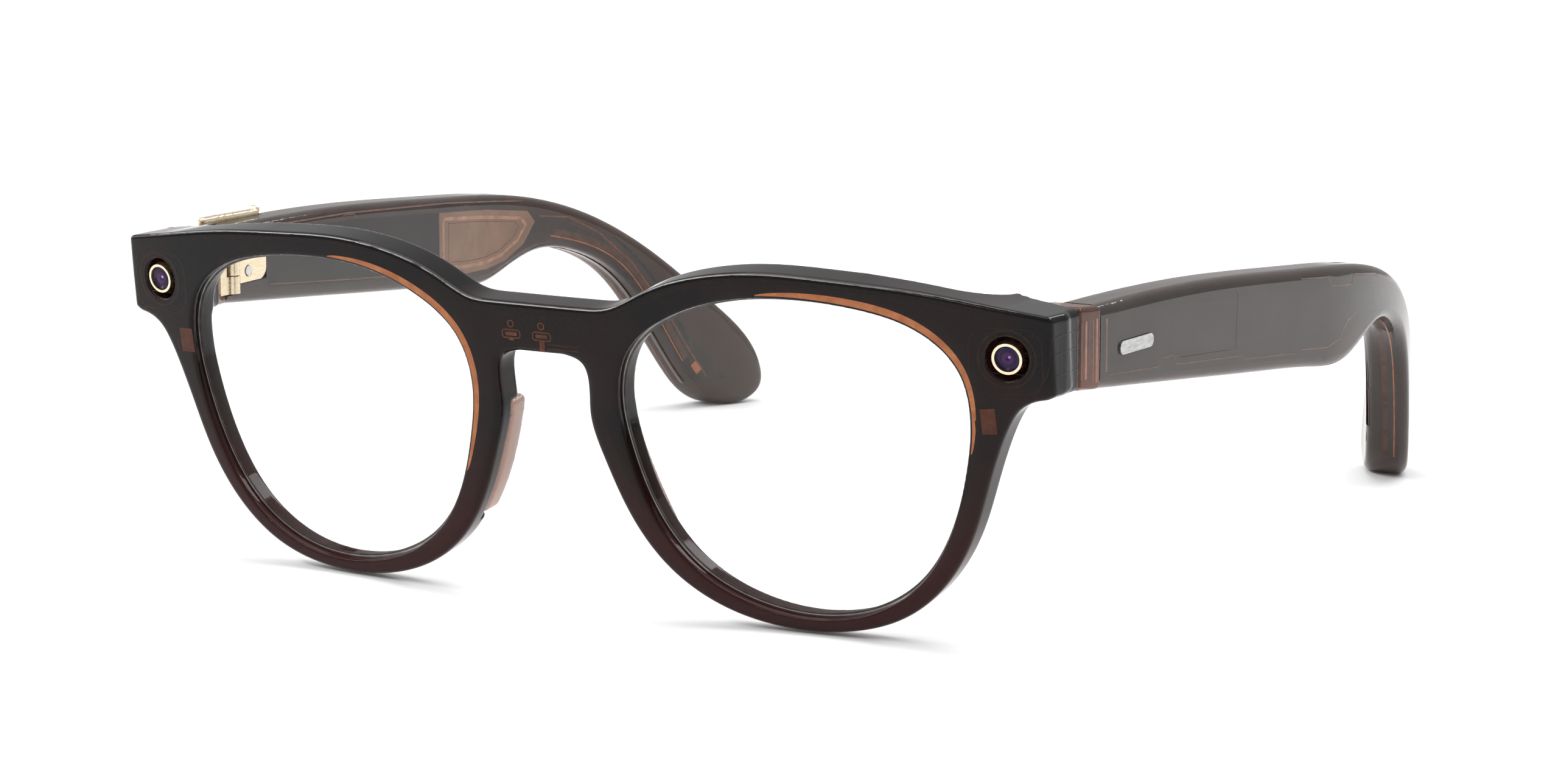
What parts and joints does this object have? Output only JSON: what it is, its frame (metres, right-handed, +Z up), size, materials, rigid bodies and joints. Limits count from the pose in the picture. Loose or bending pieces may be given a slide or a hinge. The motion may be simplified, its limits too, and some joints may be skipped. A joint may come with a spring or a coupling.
{
  "type": "smart glasses",
  "caption": "Smart glasses: thick brown round-rimmed front with clear lenses, a camera and a light in its corners, and folding temples that hold the electronics and speakers.",
  "frame": {"origin": "middle of the bounding box's underside: on the table the glasses stand on, under the middle of the whole", "axes": "+Y back along the temples (the front's face looks along -Y), +X towards the wearer's left, +Z up"},
  "size_m": [0.1518, 0.1538, 0.0494],
  "materials": {
    "frame_dark": "polished translucent dark brown moulding",
    "frame_brown": "polished translucent reddish brown moulding",
    "pad_brown": "polished translucent light brown moulding",
    "block_red": "polished translucent reddish brown moulding",
    "temple_brown": "polished translucent grey brown moulding",
    "cover_dark": "satin dark brown moulding",
    "window_brown": "polished translucent brown moulding",
    "core_brown": "flat brown strip inside the tip",
    "lens": "clear, polished both sides",
    "camera_glass": "clear with a violet coating",
    "gold": "champagne gold, brushed",
    "steel": "plain, finely brushed",
    "inlay_silver": "bright satin metal",
    "copper": "bare copper",
    "flex": "amber flexible circuit film",
    "board_green": "dark green circuit board",
    "battery_silver": "foil pouch",
    "black_plastic": "matt black",
    "white_plastic": "milky light guide"
  },
  "bodies": {
    "front": {"front_shell": "frame_dark", "rear_shell": "frame_brown", "contact_carrier": "copper", "nose_microphone": "steel", "charge_contacts": "gold", "brow_flex": "flex", "camera_ring": "gold", "camera_glass": "camera_glass", "camera_barrel": "black_plastic", "camera_module": "black_plastic", "light_ring": "gold", "light_glass": "camera_glass", "light_pipe": "white_plastic", "light_module": "black_plastic", "lens_left": "lens", "lens_right": "lens", "nose_pad_left": "pad_brown", "nose_pad_right": "pad_brown", "end_block_left": "block_red", "end_block_right": "block_red", "front_hinge_left": "gold", "front_hinge_right": "gold", "hinge_pin_left": "steel", "hinge_pin_right": "steel"},
    "temple_left": {"temple_hinge_left": "gold", "hinge_screws_left": "steel", "temple_shell_left": "temple_brown", "inner_cover_left": "cover_dark", "chamber_window_left": "window_brown", "speaker_left": "black_plastic", "vent_mesh_left": "steel", "temple_microphone_left": "steel", "tip_core_left": "core_brown", "inlay_left": "inlay_silver", "battery": "battery_silver", "charging_board": "board_green", "antenna": "copper", "power_switch_housing": "black_plastic"},
    "temple_right": {"temple_hinge_right": "gold", "hinge_screws_right": "steel", "temple_shell_right": "temple_brown", "inner_cover_right": "cover_dark", "chamber_window_right": "window_brown", "speaker_right": "black_plastic", "vent_mesh_right": "steel", "temple_microphone_right": "steel", "tip_core_right": "core_brown", "inlay_right": "inlay_silver", "main_board": "board_green", "processor_shield": "steel", "power_coil": "copper", "touch_film": "flex", "button_dome": "steel"},
    "capture_button": {"capture_button": "gold"},
    "power_switch": {"power_switch": "black_plastic"}
  },
  "joints": [
    {"name": "temple_left_fold", "type": "hinge", "parent": "front", "child": "temple_left", "pos_m": [0.06635, -0.0544, 0.03925], "axis": [0, 0, 1], "range_deg": [0, 88]},
    {"name": "temple_right_fold", "type": "hinge", "parent": "front", "child": "temple_right", "pos_m": [-0.06635, -0.0544, 0.03925], "axis": [0, 0, -1], "range_deg": [0, 74]},
    {"name": "capture_press", "type": "slide", "parent": "temple_right", "child": "capture_button", "axis": [0, 0, -1], "range_m": [0, 0.0004], "stiffness_N_per_m": 600, "springref_m": -0.0006},
    {"name": "power_slide", "type": "slide", "parent": "temple_left", "child": "power_switch", "axis": [0.0489, 0.9988, 0], "range_m": [0, 0.0015]}
  ]
}
